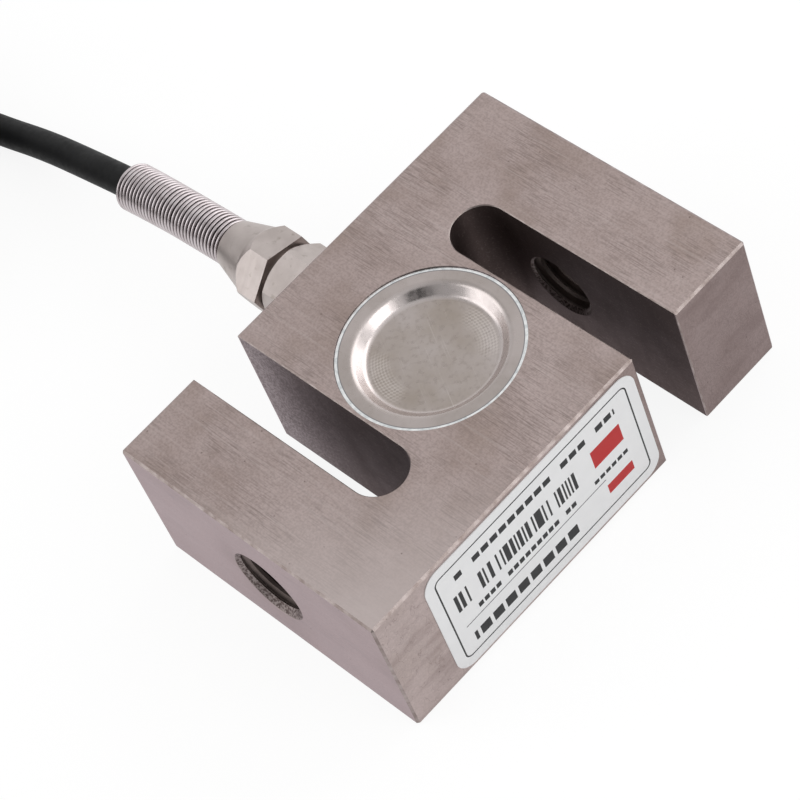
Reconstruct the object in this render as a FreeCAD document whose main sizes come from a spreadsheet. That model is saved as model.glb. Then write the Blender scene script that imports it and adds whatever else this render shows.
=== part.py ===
# S type load cell: a nickel plated steel beam with two opposed slots, strain gauges in a bored
# pocket under two pressed covers, a cable gland with a bend spring, and its cable coiled beside it.
import FreeCAD, Part

import math
import os

import Sketcher

# The beam lies on its back face. X runs along the slots, Y is the load axis through the two
# threaded arms, and Z points out of the front cover. The origin is the middle of the back face.

SIZES = [
    # the beam
    ("block_width", 50.8, "across X, 2 in"),
    ("block_length", 76.2, "along the load axis Y, 3 in"),
    ("block_height", 25.4, "thickness in Z, 1 in"),
    ("slot_width", 9.0, "opening between an arm and the centre"),
    ("slot_offset", 18.9, "slot centre line from the middle of the beam"),
    ("slot_overrun", 12.4, "how far a slot's round end passes the load axis"),
    ("outer_chamfer", 0.35, "broken outer edges"),
    ("slot_chamfer", 0.15, "broken slot edges"),
    ("thread_core_radius", 5.1, "tapping bore of M12 x 1.75"),
    ("thread_mouth_radius", 6.5, "countersink on the outer end face"),
    ("thread_inner_mouth_radius", 5.7, "countersink on the slot side"),
    ("gauge_bore_radius", 11.7, "pocket for the strain gauges"),
    ("gauge_web", 5.0, "steel left between the two pockets"),
    # the pressed covers and what seals them
    ("cover_radius", 13.93, "outer radius of the pressed disc"),
    ("cover_clearance", 0.04, "radial play of the disc in its seat"),
    ("cover_recess", 0.25, "depth of the flange below the face"),
    ("cover_sheet", 0.3, "sheet thickness"),
    ("cover_lip_radius", 11.4, "where the flange turns down into the dish"),
    ("cover_floor_radius", 9.8, "where the wall meets the floor of the dish"),
    ("cover_dish", 1.7, "depth of the dish below the flange"),
    ("cover_bend", 1.2, "bend radius of the pressing"),
    ("sealant_thickness", 0.1, "adhesive under the flange"),
    # inside the gauge pocket
    ("gauge_length", 7.0, "strain gauge along its grid"),
    ("gauge_breadth", 4.0, "strain gauge across its grid"),
    ("gauge_thickness", 0.15, "foil, backing and glue"),
    ("gauge_spread", 4.1, "half the distance between a pair of gauges"),
    ("gauge_shift", 0.6, "middle of a pair from the load axis, away from the gland"),
    ("board_length", 7.0, "terminal board along Y"),
    ("board_breadth", 2.6, "terminal board along X"),
    ("board_thickness", 0.8, "terminal board"),
    ("board_offset", 8.8, "board centre from the load axis, towards the gland"),
    ("resistor_radius", 0.7, "trimming resistor"),
    ("resistor_length", 3.4, "trimming resistor"),
    ("resistor_offset", 8.2, "resistor axis from the middle, along Y"),
    ("lead_radius", 0.35, "insulated lead inside the beam"),
    ("lead_pitch", 1.0, "spacing of the leads on the board"),
    ("lead_straight", 2.6, "leads run straight out of the jacket"),
    ("lead_rise", 3.4, "leads start to rise this far before the board"),
    ("lead_rise_height", 0.8, "height over the gland's axis where they start"),
    ("lead_top", 0.3, "leads are over the board's height this far before it"),
    ("lead_overlap", 1.6, "leads lie on the board"),
    ("solder_gap", 0.06, "leads over the board"),
    # the cable port and gland
    ("port_offset", 1.65, "gland axis from the middle of the beam, along Y"),
    ("port_radius", 4.55, "tapped port for the gland"),
    ("port_depth", 8.0, "tapped depth"),
    ("passage_radius", 4.0, "wire passage behind the port"),
    ("passage_reach", 9.6, "inner end of the passage from the load axis"),
    ("gasket_thickness", 1.0, "sealing ring under the gland"),
    ("gasket_radius", 5.9, "sealing ring"),
    ("gland_flats", 12.0, "width across flats of body and nut"),
    ("gland_clearance", 0.05, "radial play of the threads and the gasket"),
    ("gland_bore_radius", 2.75, "clearance bore for the cable"),
    ("body_length", 8.8, "hexagon of the gland body"),
    ("body_face_radius", 5.6, "turned face of the gland body"),
    ("body_chamfer", 1.0, "length of the hexagon's chamfer"),
    ("body_turn", 7.2, "degrees, how the body's flats stand"),
    ("port_thread_length", 7.0, "threaded end in the beam"),
    ("nut_thread_radius", 4.9, "threaded end under the nut"),
    ("nut_thread_length", 4.5, "threaded end under the nut"),
    ("nut_gap", 0.6, "gap between body and nut"),
    ("nut_length", 5.6, "hexagon of the nut"),
    ("nut_chamfer", 1.9, "length of the nut's chamfer"),
    ("nut_turn", 44.5, "degrees, how the nut's flats stand"),
    ("nose_root_radius", 5.7, "nose where it leaves the hexagon"),
    ("nose_tip_radius", 3.95, "nose at the spring"),
    ("nose_length", 5.9, "tapered nose"),
    ("spigot_radius", 2.95, "short tube inside the spring"),
    ("spigot_length", 2.0, "short tube inside the spring"),
    ("grommet_radius", 4.1, "rubber grommet"),
    ("grommet_length", 3.6, "rubber grommet, squeezed"),
    ("grommet_proud", 0.4, "grommet stands out of the body"),
    ("grommet_clearance", 0.02, "radial play of the grommet on the jacket"),
    ("washer_radius", 4.7, "thrust washer in the nut"),
    ("washer_thickness", 0.5, "thrust washer in the nut"),
    ("spring_wire", 0.68, "wire diameter"),
    ("spring_pitch", 0.775, "close wound"),
    ("spring_turns", 30, "number of turns"),
    ("spring_radius", 3.5, "middle of the wire"),
    ("spring_droop", 5.0, "degrees, how the cable's weight tips the spring"),
    # the cable, its coil and its stripped end
    ("cable_radius", 2.5, "outer jacket"),
    ("cable_inset", 5.4, "jacket inside the beam"),
    ("coil_radius", 27.5, "middle of the turns"),
    ("coil_rows", 3, "turns side by side"),
    ("coil_layers", 4, "layers of turns"),
    ("coil_lead", 20.0, "straight stretch into the outer turn"),
    ("tail_angle", 240.0, "degrees of the outer turn on the top layer, from half way round"),
    ("tie_width", 8.0, "strap round the coil"),
    ("tie_thickness", 0.6, "strap round the coil"),
    ("tie_clearance", 0.5, "strap to the inner turns"),
    ("tie_angle", 290.0, "degrees round the coil"),
    ("sleeve_radius", 2.7, "shrink sleeve on the stripped end"),
    ("sleeve_angle", 22.0, "degrees of coil that the sleeve covers"),
    ("core_radius", 0.6, "insulated core"),
    ("core_spacing", 0.63, "half the pitch of the cores"),
    ("core_angle", 50.0, "degrees of coil that the cores lie along"),
    ("shield_angle", 40.0, "degrees of coil that the twisted shield lies along"),
    ("tip_radius", 0.38, "tinned strands"),
    ("tip_angle", 11.0, "degrees of coil that the tips lie along"),
    ("rest_clearance", 0.05, "play of pieces that lie on the coil"),
    # the rating label
    ("label_length", 42.5, "along Y"),
    ("label_height", 23.6, "along Z"),
    ("label_thickness", 0.12, "metal foil"),
    ("label_corner", 3.0, "corner radius"),
    ("label_shift", -7.75, "centre of the label along Y"),
]

# Where the cable lies, in millimetres: out of the gland, through the spring, down to the bench.
CABLE_DROP = [
    (-51.0, 1.65, 12.7),
    (-70.0, 1.5, 10.6),
    (-82.0, 1.3, 7.95),
    (-95.0, 1.1, 4.75),
    (-106.0, -0.2, 2.5),
    (-116.0, -1.9, 2.5),
]

CORE_COLOURS = ["red", "black", "green", "white"]

doc = FreeCAD.newDocument("LoadCell")
sheet = doc.addObject("Spreadsheet::Sheet", "Sizes")
for row, (alias, value, note) in enumerate(SIZES, start=1):
    sheet.set(f"A{row}", alias)
    sheet.set(f"B{row}", str(value))
    sheet.set(f"C{row}", note)
    sheet.setAlias(f"B{row}", alias)
doc.recompute()

subparts = []


def cell(alias):
    """A driving dimension as a number."""
    return float(sheet.get(alias))


def number(item, formula):
    """What a formula of sheet cells comes to."""
    value = item.evalExpression(formula)
    return float(getattr(value, "Value", value))


def add_body(label):
    """An empty body that becomes one sub-part."""
    body = doc.addObject("PartDesign::Body", label)
    body.Label = label
    subparts.append(body)
    return body


def origin_feature(body, role):
    """One of the body's own origin planes or axes."""
    return next(item for item in body.Origin.OriginFeatures if item.Role == role)


def add_sketch(body, name, plane="XY_Plane", lift="0", rise="0"):
    """A sketch on an origin plane, lifted along its normal and raised in its own plane."""
    sketch = body.newObject("Sketcher::SketchObject", name)
    sketch.AttachmentSupport = (origin_feature(body, plane), [""])
    sketch.MapMode = "FlatFace"
    sketch.setExpression("AttachmentOffset.Base.z", lift)
    sketch.setExpression("AttachmentOffset.Base.y", rise)
    return sketch


def tie(sketch, kind, geometry, vertex, formula):
    """Hold a point's distance from the sketch's origin to a formula."""
    value = number(sketch, formula)
    index = sketch.addConstraint(Sketcher.Constraint(kind, -1, 1, geometry, vertex, value))
    sketch.setExpression(f"Constraints[{index}]", formula)


def draw_outline(sketch, corners):
    """A closed outline of straight lines, each corner tied to its two formulas."""
    points = [FreeCAD.Vector(number(sketch, across), number(sketch, up)) for across, up in corners]
    for point, following in zip(points, points[1:] + points[:1]):
        sketch.addGeometry(Part.LineSegment(point, following))
    for index in range(len(points)):
        following = (index + 1) % len(points)
        sketch.addConstraint(Sketcher.Constraint("Coincident", index, 2, following, 1))
    for index, (across, up) in enumerate(corners):
        tie(sketch, "DistanceX", index, 1, across)
        tie(sketch, "DistanceY", index, 1, up)


def draw_circle(sketch, across, up, radius):
    """A circle whose centre and radius are tied to formulas."""
    centre = FreeCAD.Vector(number(sketch, across), number(sketch, up))
    circle = Part.Circle(centre, FreeCAD.Vector(0, 0, 1), number(sketch, radius))
    index = sketch.addGeometry(circle)
    tie(sketch, "DistanceX", index, 3, across)
    tie(sketch, "DistanceY", index, 3, up)
    held = sketch.addConstraint(Sketcher.Constraint("Radius", index, circle.Radius))
    sketch.setExpression(f"Constraints[{held}]", radius)


def draw_slot(sketch, left, right, middle, radius):
    """A slot with a round left end, open on the right, tied to formulas."""
    x_left = number(sketch, left)
    x_right = number(sketch, right)
    y_middle = number(sketch, middle)
    size = number(sketch, radius)
    centre = FreeCAD.Vector(x_left, y_middle)
    circle = Part.Circle(centre, FreeCAD.Vector(0, 0, 1), size)
    low = FreeCAD.Vector(x_right, y_middle - size)
    high = FreeCAD.Vector(x_right, y_middle + size)
    end = sketch.addGeometry(Part.ArcOfCircle(circle, math.pi / 2, 3 * math.pi / 2))
    bottom = sketch.addGeometry(Part.LineSegment(FreeCAD.Vector(x_left, low.y), low))
    mouth = sketch.addGeometry(Part.LineSegment(low, high))
    top = sketch.addGeometry(Part.LineSegment(high, FreeCAD.Vector(x_left, high.y)))
    sketch.addConstraint(Sketcher.Constraint("Tangent", end, 2, bottom, 1))
    sketch.addConstraint(Sketcher.Constraint("Coincident", bottom, 2, mouth, 1))
    sketch.addConstraint(Sketcher.Constraint("Coincident", mouth, 2, top, 1))
    sketch.addConstraint(Sketcher.Constraint("Tangent", top, 2, end, 1))
    sketch.addConstraint(Sketcher.Constraint("Horizontal", bottom))
    sketch.addConstraint(Sketcher.Constraint("Vertical", mouth))
    tie(sketch, "DistanceX", end, 3, left)
    tie(sketch, "DistanceY", end, 3, middle)
    tie(sketch, "DistanceX", mouth, 1, right)
    held = sketch.addConstraint(Sketcher.Constraint("Radius", end, size))
    sketch.setExpression(f"Constraints[{held}]", radius)


def add_feature(body, kind, name, sketch, **settings):
    """A sketch based feature that has to change the body's volume."""
    before = body.Shape.Volume if body.Tip else 0.0
    feature = body.newObject(kind, name)
    feature.Profile = sketch
    for key, value in settings.items():
        if isinstance(value, str) and value.startswith("="):
            feature.setExpression(key, value[1:])
        else:
            setattr(feature, key, value)
    doc.recompute()
    change = body.Shape.Volume - before
    cutting = kind.endswith(("Pocket", "Groove"))
    if (cutting and change > -1e-6) or (not cutting and change < 1e-6):
        raise RuntimeError(f"{name} changes nothing")
    return feature


def turned(body, kind, name, corners, plane="XZ_Plane", axis="V_Axis", lift="0", angle=360):
    """A profile turned about an axis of its sketch: kind is Revolution or Groove."""
    sketch = add_sketch(body, f"{name}_profile", plane, lift)
    draw_outline(sketch, corners)
    return add_feature(
        body, f"PartDesign::{kind}", name, sketch, ReferenceAxis=(sketch, [axis]), Angle=angle
    )


def edges_where(shape, wanted):
    """Names of the edges whose middle point and shape pass a test."""
    names = []
    for index, edge in enumerate(shape.Edges, start=1):
        if wanted(edge, edge.valueAt((edge.FirstParameter + edge.LastParameter) / 2)):
            names.append(f"Edge{index}")
    return names


def dress(body, kind, name, edges, size):
    """A fillet or chamfer on named edges of the body's last feature."""
    base = body.Tip
    feature = body.newObject(f"PartDesign::{kind}", name)
    feature.Base = (base, edges)
    feature.setExpression("Radius" if kind == "Fillet" else "Size", size)
    doc.recompute()


def raise_to_middle(item, z="Sizes.block_height / 2"):
    """Pieces drawn about the middle of the beam stand half its height above the back face."""
    item.setExpression("Placement.Base.z", z)


def near(value, target):
    return abs(value - target) < 1e-4


def make_load_beam():
    """The steel beam: one block with two opposed slots, bores, a cable port and broken edges."""
    body = add_body("load_beam")
    outline = add_sketch(body, "beam_outline", lift="-Sizes.block_height / 2")
    half_width = "Sizes.block_width / 2"
    half_length = "Sizes.block_length / 2"
    half_height = "Sizes.block_height / 2"
    corners = [
        (f"-{half_width}", f"-{half_length}"),
        (half_width, f"-{half_length}"),
        (half_width, half_length),
        (f"-{half_width}", half_length),
    ]
    draw_outline(outline, corners)
    add_feature(body, "PartDesign::Pad", "beam_block", outline, Length="=Sizes.block_height")

    slot = add_sketch(body, "slot_outline")
    slot_radius = "Sizes.slot_width / 2"
    draw_slot(slot, f"{slot_radius} - Sizes.slot_overrun", "Sizes.block_width",
              "Sizes.slot_offset", slot_radius)
    slot_cut = add_feature(
        body, "PartDesign::Pocket", "slot_cut", slot,
        SideType="Symmetric", Length="=2 * Sizes.block_height",
    )

    inner = "Sizes.slot_offset + Sizes.slot_width / 2"
    core = "Sizes.thread_core_radius"
    thread_profile = [
        (inner, "0"),
        (half_length, "0"),
        (half_length, "Sizes.thread_mouth_radius"),
        (f"{half_length} - (Sizes.thread_mouth_radius - {core})", core),
        (f"{inner} + (Sizes.thread_inner_mouth_radius - {core})", core),
        (inner, "Sizes.thread_inner_mouth_radius"),
    ]
    thread_bore = turned(body, "Groove", "thread_bore", thread_profile, "YZ_Plane", "H_Axis")

    opposed = body.newObject("PartDesign::PolarPattern", "opposed_arm")
    opposed.Originals = [slot_cut, thread_bore]
    opposed.Axis = (origin_feature(body, "Z_Axis"), [""])
    opposed.Angle = 360
    opposed.Occurrences = 2
    body.Tip = opposed
    doc.recompute()

    web = "Sizes.gauge_web / 2"
    seat = "Sizes.cover_radius + Sizes.cover_clearance"
    seat_floor = f"{half_height} - (Sizes.cover_recess + Sizes.cover_sheet + Sizes.sealant_thickness)"
    bore_profile = [
        ("0", web),
        ("Sizes.gauge_bore_radius", web),
        ("Sizes.gauge_bore_radius", seat_floor),
        (seat, seat_floor),
        (seat, half_height),
        ("0", half_height),
    ]
    gauge_bore = turned(body, "Groove", "gauge_bore", bore_profile)

    both_faces = body.newObject("PartDesign::Mirrored", "back_gauge_bore")
    both_faces.Originals = [gauge_bore]
    both_faces.MirrorPlane = (origin_feature(body, "XY_Plane"), [""])
    body.Tip = both_faces
    doc.recompute()

    port_profile = [
        (f"-{half_width}", "0"),
        (f"-{half_width}", "Sizes.port_radius"),
        (f"-{half_width} + Sizes.port_depth", "Sizes.port_radius"),
        (f"-{half_width} + Sizes.port_depth", "Sizes.passage_radius"),
        ("-Sizes.passage_reach", "Sizes.passage_radius"),
        ("-Sizes.passage_reach", "0"),
    ]
    turned(body, "Groove", "cable_port", port_profile, "XZ_Plane", "H_Axis", "-Sizes.port_offset")

    wide = cell("block_width") / 2
    long = cell("block_length") / 2
    high = cell("block_height") / 2
    slot_low = cell("slot_offset") - cell("slot_width") / 2
    slot_high = cell("slot_offset") + cell("slot_width") / 2

    def on_slot(edge, middle):
        """Rims of the slots on both faces, and the upright edges of their mouths."""
        beside = slot_low - 1e-4 < abs(middle.y) < slot_high + 1e-4
        on_face = near(abs(middle.z), high)
        upright = near(abs(middle.x), wide) and near(middle.z, 0)
        return beside and (on_face or upright) and not near(edge.Length, 0)

    def on_outside(edge, middle):
        """Edges of the block itself, where two of its outer faces meet."""
        sides = [near(abs(middle.x), wide), near(abs(middle.y), long), near(abs(middle.z), high)]
        beside = slot_low - 1e-4 < abs(middle.y) < slot_high + 1e-4
        return sum(sides) >= 2 and not beside and not edge.Closed

    dress(body, "Chamfer", "outer_edges", edges_where(body.Shape, on_outside),
          "Sizes.outer_chamfer")
    dress(body, "Chamfer", "slot_edges", edges_where(body.Shape, on_slot), "Sizes.slot_chamfer")
    raise_to_middle(body)


def make_cover(label, facing):
    """A pressed disc with a flat flange and a round dish. facing is 0 at the front, 180 behind."""
    body = add_body(label)
    top = "Sizes.block_height / 2 - Sizes.cover_recess"
    sheet_below = f"{top} - Sizes.cover_sheet"
    profile = [
        ("0", f"{top} - Sizes.cover_dish"),
        ("Sizes.cover_floor_radius", f"{top} - Sizes.cover_dish"),
        ("Sizes.cover_lip_radius", top),
        ("Sizes.cover_radius", top),
        ("Sizes.cover_radius", sheet_below),
        ("Sizes.cover_lip_radius", sheet_below),
        ("Sizes.cover_floor_radius", f"{sheet_below} - Sizes.cover_dish"),
        ("0", f"{sheet_below} - Sizes.cover_dish"),
    ]
    turned(body, "Revolution", f"{label}_disc", profile)
    bent = (cell("cover_lip_radius"), cell("cover_floor_radius"))

    def is_bend(edge, middle):
        return hasattr(edge.Curve, "Radius") and any(near(edge.Curve.Radius, r) for r in bent)

    dress(body, "Fillet", f"{label}_bends", edges_where(body.Shape, is_bend), "Sizes.cover_bend")
    body.Placement = FreeCAD.Placement(
        FreeCAD.Vector(0, 0, 0), FreeCAD.Rotation(FreeCAD.Vector(1, 0, 0), facing)
    )
    raise_to_middle(body)


def make_ring(label, inner, outer, thickness, base, facing=0):
    """A flat ring about Z whose lower face is at base, turned over where facing is 180."""
    body = add_body(label)
    sketch = add_sketch(body, f"{label}_outline", lift=base)
    draw_circle(sketch, "0", "0", outer)
    draw_circle(sketch, "0", "0", inner)
    add_feature(body, "PartDesign::Pad", f"{label}_ring", sketch, Length=f"={thickness}")
    body.Placement = FreeCAD.Placement(
        FreeCAD.Vector(0, 0, 0), FreeCAD.Rotation(FreeCAD.Vector(1, 0, 0), facing)
    )
    return body


def make_sealant(label, facing):
    """The bead of adhesive that holds and seals a cover's flange."""
    depth = "(Sizes.cover_recess + Sizes.cover_sheet + Sizes.sealant_thickness)"
    body = make_ring(label, "Sizes.cover_lip_radius + Sizes.cover_bend / 2", "Sizes.cover_radius",
                     "Sizes.sealant_thickness", f"Sizes.block_height / 2 - {depth}", facing)
    raise_to_middle(body)


def make_plate(label, length, breadth, thickness, x, y, side=1, turn=0):
    """A thin plate on the web: side is 1 on the front and -1 on the back, turn is in degrees."""
    body = add_body(label)
    sketch = add_sketch(body, f"{label}_outline", lift="Sizes.gauge_web / 2")
    corners = [
        (f"-{breadth} / 2", f"-{length} / 2"),
        (f"{breadth} / 2", f"-{length} / 2"),
        (f"{breadth} / 2", f"{length} / 2"),
        (f"-{breadth} / 2", f"{length} / 2"),
    ]
    draw_outline(sketch, corners)
    add_feature(body, "PartDesign::Pad", f"{label}_plate", sketch, Length=f"={thickness}")
    over = FreeCAD.Rotation(FreeCAD.Vector(1, 0, 0), 0 if side > 0 else 180)
    body.Placement = FreeCAD.Placement(
        FreeCAD.Vector(0, 0, 0), over * FreeCAD.Rotation(FreeCAD.Vector(0, 0, 1), turn)
    )
    body.setExpression("Placement.Base.x", x)
    body.setExpression("Placement.Base.y", y)
    raise_to_middle(body)


def make_gauge_pocket():
    """Four shear gauges on the web, the terminal board and two trimming resistors."""
    for face, side in (("front", 1), ("back", -1)):
        for hand, sign in (("left", "-"), ("right", "")):
            turn = 45 if hand == "left" else -45
            make_plate(
                f"{face}_gauge_{hand}", "Sizes.gauge_length", "Sizes.gauge_breadth",
                "Sizes.gauge_thickness", f"{sign}Sizes.gauge_spread + Sizes.gauge_shift", "0", side, turn,
            )
    make_plate("terminal_board", "Sizes.board_length", "Sizes.board_breadth",
               "Sizes.board_thickness", "-Sizes.board_offset", "Sizes.port_offset")
    for label, sign in (("zero_resistor", "-"), ("span_resistor", "")):
        resistor = doc.addObject("Part::Cylinder", label)
        resistor.Label = label
        resistor.setExpression("Radius", "Sizes.resistor_radius")
        resistor.setExpression("Height", "Sizes.resistor_length")
        resistor.Placement = FreeCAD.Placement(
            FreeCAD.Vector(0, 0, 0), FreeCAD.Rotation(FreeCAD.Vector(0, 1, 0), 90)
        )
        resistor.setExpression("Placement.Base.x", "-Sizes.resistor_length / 2")
        resistor.setExpression("Placement.Base.y", f"{sign}Sizes.resistor_offset")
        raise_to_middle(
            resistor, "Sizes.block_height / 2 + Sizes.gauge_web / 2 + Sizes.resistor_radius"
        )
        subparts.append(resistor)


def bent_path(points):
    """Straight runs joined by tangent arcs that take 0.45 of the shorter run. Returns radii too."""
    edges = []
    radii = []
    start = points[0]
    for before, corner, after in zip(points, points[1:], points[2:]):
        arriving = corner - before
        leaving = after - corner
        half_turn = arriving.getAngle(leaving) / 2
        reach = 0.45 * min(arriving.Length, leaving.Length)
        radius = reach / math.tan(half_turn)
        arriving.normalize()
        leaving.normalize()
        inward = leaving - arriving
        inward.normalize()
        entry = corner - arriving * reach
        departure = corner + leaving * reach
        middle = corner + inward * (radius / math.cos(half_turn) - radius)
        edges.append(Part.LineSegment(start, entry).toShape())
        edges.append(Part.Arc(entry, middle, departure).toShape())
        radii.append(radius)
        start = departure
    edges.append(Part.LineSegment(start, points[-1]).toShape())
    return Part.Wire(edges), radii


def make_tube(label, points, radius):
    """A round solid along a bent path, with its volume held against section times length."""
    path, radii = bent_path(points)
    circle = Part.Circle(points[0], points[1] - points[0], radius).toShape()
    solid = path.makePipeShell([Part.Wire([circle])], True, True)
    expected = math.pi * radius ** 2 * path.Length
    if abs(solid.Volume / expected - 1) > 0.01:
        raise RuntimeError(f"{label} has a volume of {solid.Volume}, not {expected}")
    tube = doc.addObject("Part::Feature", label)
    tube.Label = label
    tube.Shape = solid
    tube.Placement = FreeCAD.Placement()
    subparts.append(tube)
    print(label, "length", round(path.Length, 2), "radii", [round(r, 1) for r in radii])


def make_inner_leads():
    """Four insulated leads from the end of the jacket, through the port, to the terminal board."""
    middle = cell("block_height") / 2
    jacket_end = -cell("block_width") / 2 + cell("cable_inset")
    board_edge = -cell("board_offset") - cell("board_breadth") / 2
    on_web = middle + cell("gauge_web") / 2
    gap = cell("solder_gap")
    landing = on_web + cell("board_thickness") + cell("lead_radius") + gap
    rise_height = middle + cell("lead_rise_height")
    bundle = cell("core_radius")
    for index, colour in enumerate(CORE_COLOURS):
        across = (index - (len(CORE_COLOURS) - 1) / 2) * cell("lead_pitch")
        start_y = bundle if index > 1 else -bundle
        start_z = -bundle if index in (0, 3) else bundle
        port = cell("port_offset")
        points = [
            FreeCAD.Vector(jacket_end, port + start_y, middle + start_z),
            FreeCAD.Vector(jacket_end + cell("lead_straight"), port + start_y, middle + start_z),
            FreeCAD.Vector(board_edge - cell("lead_rise"), port + across, rise_height),
            FreeCAD.Vector(board_edge - cell("lead_top"), port + across, landing),
            FreeCAD.Vector(board_edge + cell("lead_overlap"), port + across, landing + gap),
        ]
        make_tube(f"inner_lead_{colour}", points, cell("lead_radius"))


def gland_placement(turn):
    """Gland pieces are drawn along Z from the beam's face, which then points along -X."""
    outward = FreeCAD.Rotation(FreeCAD.Vector(0, 1, 0), -90)
    about_axis = FreeCAD.Rotation(FreeCAD.Vector(0, 0, 1), turn)
    return FreeCAD.Placement(FreeCAD.Vector(0, 0, 0), outward * about_axis)


def seat_in_port(body, turn=0):
    """Put a gland piece on the port's axis, with its flats at the given turn."""
    body.Placement = gland_placement(turn)
    body.setExpression("Placement.Base.x", "-Sizes.block_width / 2")
    body.setExpression("Placement.Base.y", "Sizes.port_offset")
    raise_to_middle(body)


def draw_hexagon(sketch, flats):
    """A hexagon about the sketch's origin."""
    corners = []
    for index in range(6):
        angle = f"{60 * index} deg"
        corners.append((f"{flats} / sqrt(3) * cos({angle})", f"{flats} / sqrt(3) * sin({angle})"))
    draw_outline(sketch, corners)


BODY_END = "Sizes.gasket_thickness + Sizes.body_length"
NUT_START = f"{BODY_END} + Sizes.nut_gap"
NUT_END = f"{NUT_START} + Sizes.nut_length"
NOSE_END = f"{NUT_END} + Sizes.nose_length"
THREAD_END = f"{BODY_END} + Sizes.nut_thread_length"
GROMMET_END = f"{THREAD_END} + Sizes.grommet_proud"
WASHER_END = f"{GROMMET_END} + Sizes.washer_thickness"
HEX_CORNER = "Sizes.gland_flats / sqrt(3)"
BEYOND_HEX = "Sizes.gland_flats"


def make_gland_body():
    """The gland's body: a hexagon with a thread in the beam and one under the nut."""
    body = add_body("gland_body")
    hexagon = add_sketch(body, "body_hexagon", lift="Sizes.gasket_thickness")
    draw_hexagon(hexagon, "Sizes.gland_flats")
    add_feature(body, "PartDesign::Pad", "body_block", hexagon, Length="=Sizes.body_length")
    chamfer = [
        ("Sizes.body_face_radius", BODY_END),
        (HEX_CORNER, f"{BODY_END} - Sizes.body_chamfer"),
        (BEYOND_HEX, f"{BODY_END} - Sizes.body_chamfer"),
        (BEYOND_HEX, BODY_END),
    ]
    turned(body, "Groove", "body_chamfers", chamfer)
    port_thread = "Sizes.port_radius - Sizes.gland_clearance"
    threads = [
        ("0", "-Sizes.port_thread_length"),
        (port_thread, "-Sizes.port_thread_length"),
        (port_thread, "Sizes.gasket_thickness + Sizes.body_chamfer"),
        ("Sizes.nut_thread_radius", "Sizes.gasket_thickness + Sizes.body_chamfer"),
        ("Sizes.nut_thread_radius", THREAD_END),
        ("0", THREAD_END),
    ]
    turned(body, "Revolution", "body_threads", threads)
    grommet_floor = f"{GROMMET_END} - Sizes.grommet_length"
    bore = [
        ("0", "-Sizes.port_thread_length"),
        ("Sizes.gland_bore_radius", "-Sizes.port_thread_length"),
        ("Sizes.gland_bore_radius", grommet_floor),
        ("Sizes.grommet_radius + Sizes.gland_clearance", grommet_floor),
        ("Sizes.grommet_radius + Sizes.gland_clearance", THREAD_END),
        ("0", THREAD_END),
    ]
    turned(body, "Groove", "body_bore", bore)
    seat_in_port(body, cell("body_turn"))


def make_gland_nut():
    """The clamping nut: a chamfered hexagon, a tapered nose and the spigot that holds the spring."""
    body = add_body("gland_nut")
    hexagon = add_sketch(body, "nut_hexagon", lift=NUT_START)
    draw_hexagon(hexagon, "Sizes.gland_flats")
    add_feature(body, "PartDesign::Pad", "nut_block", hexagon, Length="=Sizes.nut_length")
    chamfer = [
        ("Sizes.nose_root_radius", NUT_END),
        (HEX_CORNER, f"{NUT_END} - Sizes.nut_chamfer"),
        (BEYOND_HEX, f"{NUT_END} - Sizes.nut_chamfer"),
        (BEYOND_HEX, NUT_END),
    ]
    turned(body, "Groove", "nut_chamfers", chamfer)
    nose = [
        ("0", f"{NUT_END} - Sizes.nut_chamfer"),
        ("Sizes.nose_root_radius", f"{NUT_END} - Sizes.nut_chamfer"),
        ("Sizes.nose_root_radius", NUT_END),
        ("Sizes.nose_tip_radius", NOSE_END),
        ("Sizes.spigot_radius", NOSE_END),
        ("Sizes.spigot_radius", f"{NOSE_END} + Sizes.spigot_length"),
        ("0", f"{NOSE_END} + Sizes.spigot_length"),
    ]
    turned(body, "Revolution", "nut_nose", nose)
    bore = [
        ("0", NUT_START),
        ("Sizes.nut_thread_radius + Sizes.gland_clearance", NUT_START),
        ("Sizes.nut_thread_radius + Sizes.gland_clearance", WASHER_END),
        ("Sizes.gland_bore_radius", WASHER_END),
        ("Sizes.gland_bore_radius", f"{NOSE_END} + Sizes.spigot_length"),
        ("0", f"{NOSE_END} + Sizes.spigot_length"),
    ]
    turned(body, "Groove", "nut_bore", bore)
    seat_in_port(body, cell("nut_turn"))


def make_gland_seals():
    """The flat gasket on the beam, the rubber grommet round the cable and its thrust washer."""
    gasket = make_ring("gland_gasket", "Sizes.port_radius + Sizes.gland_clearance",
                       "Sizes.gasket_radius", "Sizes.gasket_thickness", "0")
    seat_in_port(gasket)
    grommet = make_ring("gland_grommet", "Sizes.cable_radius + Sizes.grommet_clearance",
                        "Sizes.grommet_radius", "Sizes.grommet_length",
                        f"{GROMMET_END} - Sizes.grommet_length")
    seat_in_port(grommet)
    washer = make_ring("gland_thrust_washer", "Sizes.gland_bore_radius", "Sizes.washer_radius",
                       "Sizes.washer_thickness", GROMMET_END)
    seat_in_port(washer)


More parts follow.
